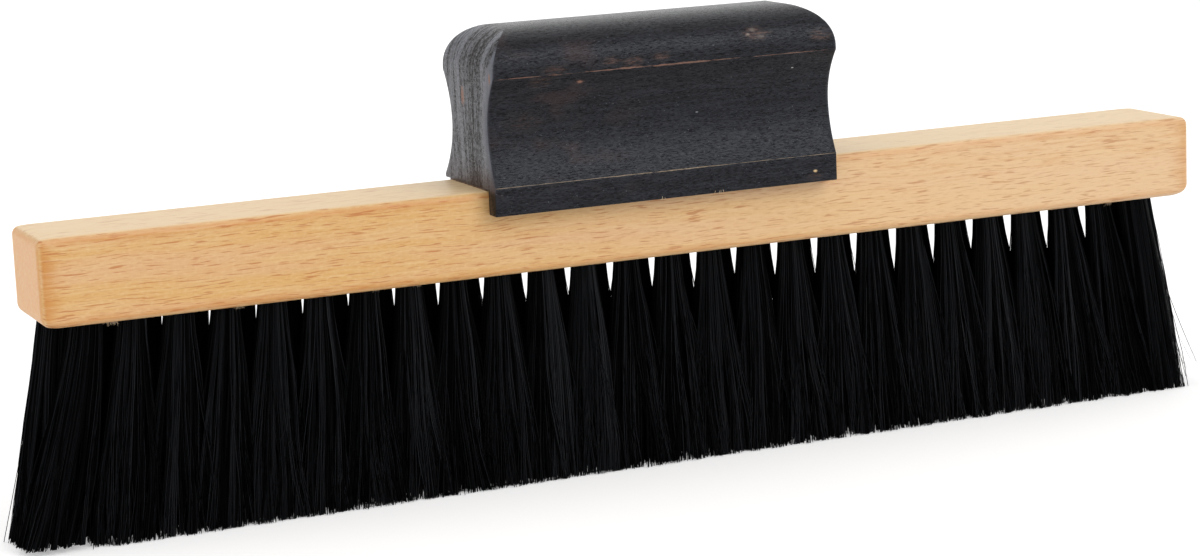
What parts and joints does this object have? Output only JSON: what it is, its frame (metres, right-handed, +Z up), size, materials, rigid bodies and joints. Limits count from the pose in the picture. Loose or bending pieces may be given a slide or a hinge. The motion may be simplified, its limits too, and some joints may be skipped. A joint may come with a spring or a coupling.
{
  "type": "record brush",
  "caption": "Hand brush for vinyl records: a beech bar set with soft black goat hair in two rows, and a black stained wooden grip on top.",
  "frame": {"origin": "on the floor plane that the trimmed hair stands on, under the middle of the brush's outline", "axes": "+Z up; +X along the beam, to the right as seen from the front; -Y is the front, where the grip's lip hangs over the beam"},
  "size_m": [0.1942, 0.0208, 0.0676],
  "materials": {
    "oiled_beech": "oiled",
    "stained_wood": "satin",
    "goat_hair": "satin"
  },
  "bodies": {
    "root": {"beam": "oiled_beech", "grip": "stained_wood", "tuft_front_01": "goat_hair", "tuft_front_02": "goat_hair", "tuft_front_03": "goat_hair", "tuft_front_04": "goat_hair", "tuft_front_05": "goat_hair", "tuft_front_06": "goat_hair", "tuft_front_07": "goat_hair", "tuft_front_08": "goat_hair", "tuft_front_09": "goat_hair", "tuft_front_10": "goat_hair", "tuft_front_11": "goat_hair", "tuft_front_12": "goat_hair", "tuft_front_13": "goat_hair", "tuft_front_14": "goat_hair", "tuft_front_15": "goat_hair", "tuft_front_16": "goat_hair", "tuft_front_17": "goat_hair", "tuft_front_18": "goat_hair", "tuft_front_19": "goat_hair", "tuft_front_20": "goat_hair", "tuft_front_21": "goat_hair", "tuft_front_22": "goat_hair", "tuft_front_23": "goat_hair", "tuft_front_24": "goat_hair", "tuft_front_25": "goat_hair", "tuft_front_26": "goat_hair", "tuft_rear_01": "goat_hair", "tuft_rear_02": "goat_hair", "tuft_rear_03": "goat_hair", "tuft_rear_04": "goat_hair", "tuft_rear_05": "goat_hair", "tuft_rear_06": "goat_hair", "tuft_rear_07": "goat_hair", "tuft_rear_08": "goat_hair", "tuft_rear_09": "goat_hair", "tuft_rear_10": "goat_hair", "tuft_rear_11": "goat_hair", "tuft_rear_12": "goat_hair", "tuft_rear_13": "goat_hair", "tuft_rear_14": "goat_hair", "tuft_rear_15": "goat_hair", "tuft_rear_16": "goat_hair", "tuft_rear_17": "goat_hair", "tuft_rear_18": "goat_hair", "tuft_rear_19": "goat_hair", "tuft_rear_20": "goat_hair", "tuft_rear_21": "goat_hair", "tuft_rear_22": "goat_hair", "tuft_rear_23": "goat_hair", "tuft_rear_24": "goat_hair", "tuft_rear_25": "goat_hair", "tuft_rear_26": "goat_hair", "tuft_rear_27": "goat_hair"}
  },
  "joints": []
}
